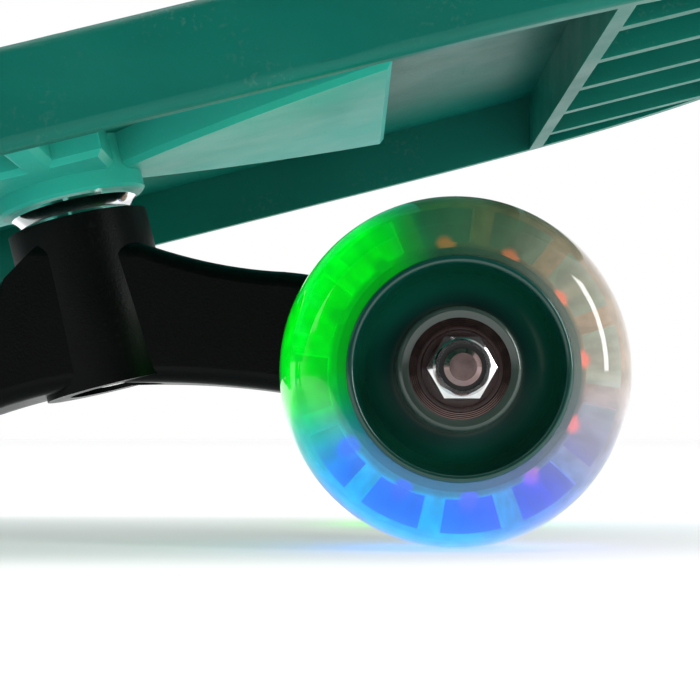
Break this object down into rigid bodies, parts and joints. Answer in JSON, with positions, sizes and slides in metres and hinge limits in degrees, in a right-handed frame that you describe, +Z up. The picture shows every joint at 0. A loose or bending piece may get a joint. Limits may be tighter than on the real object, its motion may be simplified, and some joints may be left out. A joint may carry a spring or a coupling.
{
  "type": "skateboard",
  "caption": "Teal plastic street board with ramped ends, black swing-arm trucks under moulded brackets and translucent light-up wheels.",
  "frame": {"origin": "on the ground under the middle of the deck", "axes": "+X towards the nose, +Y to the rider's left along the axles, +Z up"},
  "size_m": [0.72, 0.2, 0.1539],
  "materials": {
    "deck_plastic": "satin translucent teal polypropylene",
    "bracket_plastic": "satin translucent teal nylon",
    "arm_plastic": "satin black glass-filled nylon",
    "chrome": "polished chrome",
    "zinc_steel": "zinc-plated steel",
    "dark_steel": "black-oxide steel",
    "brass_insert": "turned brass",
    "bronze_bush": "sintered bronze",
    "urethane": "amber urethane",
    "nylon_insert": "dark nylon",
    "bearing_steel": "ground bearing steel",
    "magnet": "plastic-bonded magnet",
    "light_guide": "clear polycarbonate, lit from inside",
    "clear_tyre": "milky translucent urethane",
    "core_plastic": "gloss dark teal nylon",
    "light_board": "circuit board with lamps",
    "bearing_shield": "black moulded rubber"
  },
  "bodies": {
    "board": {"deck": "deck_plastic", "deck_bolts": "dark_steel", "bolt_inserts": "brass_insert", "kingpins": "zinc_steel", "kingpin_washers": "zinc_steel", "kingpin_nuts": "zinc_steel", "nose_bracket": "bracket_plastic", "nose_swivel_cup": "chrome", "tail_bracket": "bracket_plastic", "tail_swivel_cup": "chrome"},
    "nose_arm": {"nose_swing_arm": "arm_plastic", "nose_thrust_balls": "bearing_steel", "nose_thrust_race": "zinc_steel", "nose_swivel_bushes": "bronze_bush", "nose_centring_sleeve": "urethane", "nose_axle": "zinc_steel", "nose_speed_washers": "zinc_steel", "nose_axle_nuts": "chrome", "nose_nut_inserts": "nylon_insert", "nose_inner_races": "bearing_steel", "nose_magnet_sleeves": "magnet"},
    "nose_left_wheel": {"nose_left_tyre": "clear_tyre", "nose_left_core": "core_plastic", "nose_left_light_guide": "light_guide", "nose_left_light_board": "light_board", "nose_left_outer_races": "bearing_steel", "nose_left_bearing_balls": "bearing_steel", "nose_left_bearing_shields": "bearing_shield"},
    "nose_right_wheel": {"nose_right_tyre": "clear_tyre", "nose_right_core": "core_plastic", "nose_right_light_guide": "light_guide", "nose_right_light_board": "light_board", "nose_right_outer_races": "bearing_steel", "nose_right_bearing_balls": "bearing_steel", "nose_right_bearing_shields": "bearing_shield"},
    "tail_arm": {"tail_swing_arm": "arm_plastic", "tail_thrust_balls": "bearing_steel", "tail_thrust_race": "zinc_steel", "tail_swivel_bushes": "bronze_bush", "tail_centring_sleeve": "urethane", "tail_axle": "zinc_steel", "tail_speed_washers": "zinc_steel", "tail_axle_nuts": "chrome", "tail_nut_inserts": "nylon_insert", "tail_inner_races": "bearing_steel", "tail_magnet_sleeves": "magnet"},
    "tail_left_wheel": {"tail_left_tyre": "clear_tyre", "tail_left_core": "core_plastic", "tail_left_light_guide": "light_guide", "tail_left_light_board": "light_board", "tail_left_outer_races": "bearing_steel", "tail_left_bearing_balls": "bearing_steel", "tail_left_bearing_shields": "bearing_shield"},
    "tail_right_wheel": {"tail_right_tyre": "clear_tyre", "tail_right_core": "core_plastic", "tail_right_light_guide": "light_guide", "tail_right_light_board": "light_board", "tail_right_outer_races": "bearing_steel", "tail_right_bearing_balls": "bearing_steel", "tail_right_bearing_shields": "bearing_shield"}
  },
  "joints": [
    {"name": "nose_swing", "type": "hinge", "parent": "board", "child": "nose_arm", "pos_m": [0.1563, 0, 0.0794], "axis": [-0.2419, 0, 0.9703], "range_deg": [-25, 25], "stiffness_Nm_per_rad": 4},
    {"name": "nose_left_spin", "type": "hinge", "parent": "nose_arm", "child": "nose_left_wheel", "pos_m": [0.25, 0.052, 0.0395], "axis": [0, 1, 0], "continuous": true},
    {"name": "nose_right_spin", "type": "hinge", "parent": "nose_arm", "child": "nose_right_wheel", "pos_m": [0.25, -0.052, 0.0395], "axis": [0, 1, 0], "continuous": true},
    {"name": "tail_swing", "type": "hinge", "parent": "board", "child": "tail_arm", "pos_m": [-0.1563, 0, 0.0794], "axis": [0.2419, 0, 0.9703], "range_deg": [-25, 25], "stiffness_Nm_per_rad": 4},
    {"name": "tail_left_spin", "type": "hinge", "parent": "tail_arm", "child": "tail_left_wheel", "pos_m": [-0.25, 0.052, 0.0395], "axis": [0, 1, 0], "continuous": true},
    {"name": "tail_right_spin", "type": "hinge", "parent": "tail_arm", "child": "tail_right_wheel", "pos_m": [-0.25, -0.052, 0.0395], "axis": [0, 1, 0], "continuous": true}
  ]
}
